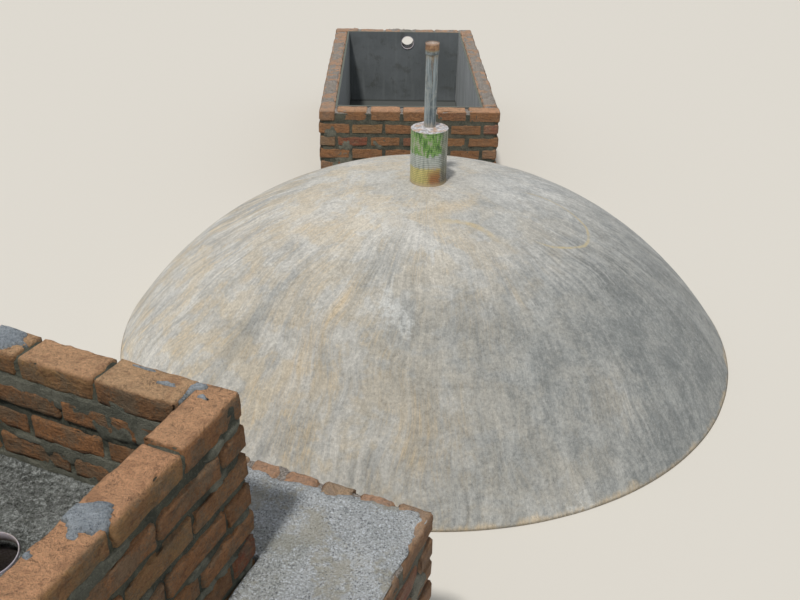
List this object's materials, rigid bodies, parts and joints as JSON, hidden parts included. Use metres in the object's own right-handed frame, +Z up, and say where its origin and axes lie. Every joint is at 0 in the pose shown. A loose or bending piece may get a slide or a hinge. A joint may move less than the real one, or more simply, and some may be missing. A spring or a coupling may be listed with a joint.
{
  "type": "fixed-dome biogas digester",
  "caption": "Plastered masonry gas dome with a tin-cased gas pipe turret, a brick outlet tank behind it and a brick inlet tank on a plinth in front.",
  "frame": {"origin": "centre of the part's bounding box in plan, on the ground", "axes": "+Z up, +Y from the dome towards the outlet tank, +X to the right seen from the inlet tank"},
  "size_m": [4.06, 8.1456, 1.557],
  "materials": {
    "plaster": "brushed cement plaster",
    "dark_plaster": "smooth trowelled cement plaster",
    "cement": "rough pale cement",
    "screed": "rough cement screed",
    "rubble": "packed rubble and earth",
    "brick": "hand-made fired brick with grey mortar",
    "tin": "worn printed tin",
    "zinc": "weathered galvanised steel",
    "rust": "rusty threaded iron",
    "plastic": "matt plastic pipe"
  },
  "bodies": {
    "root": {"dome_shell": "plaster", "turret_tin": "tin", "turret_cement": "cement", "gas_pipe": "zinc", "gas_pipe_socket": "rust", "outlet_front_wall": "brick", "outlet_back_wall": "brick", "outlet_left_wall": "brick", "outlet_right_wall": "brick", "outlet_floor": "dark_plaster", "outlet_front_lining": "dark_plaster", "outlet_back_lining": "dark_plaster", "outlet_left_lining": "dark_plaster", "outlet_right_lining": "dark_plaster", "overflow_sleeve": "plastic", "inlet_back_wall": "brick", "inlet_front_wall": "brick", "inlet_left_wall": "brick", "inlet_right_wall": "brick", "inlet_bed_left": "rubble", "inlet_bed_right": "rubble", "inlet_bed_back": "rubble", "inlet_bed_front": "rubble", "inlet_floor": "screed", "inlet_pipe": "plastic", "plinth_back_wall": "brick", "plinth_front_wall": "brick", "plinth_left_wall": "brick", "plinth_right_wall": "brick", "plinth_back_fill": "rubble", "plinth_front_fill": "rubble", "plinth_left_fill": "rubble", "plinth_right_fill": "rubble", "plinth_back_screed": "screed", "plinth_front_screed": "screed", "plinth_left_screed": "screed", "plinth_right_screed": "screed"}
  },
  "joints": []
}
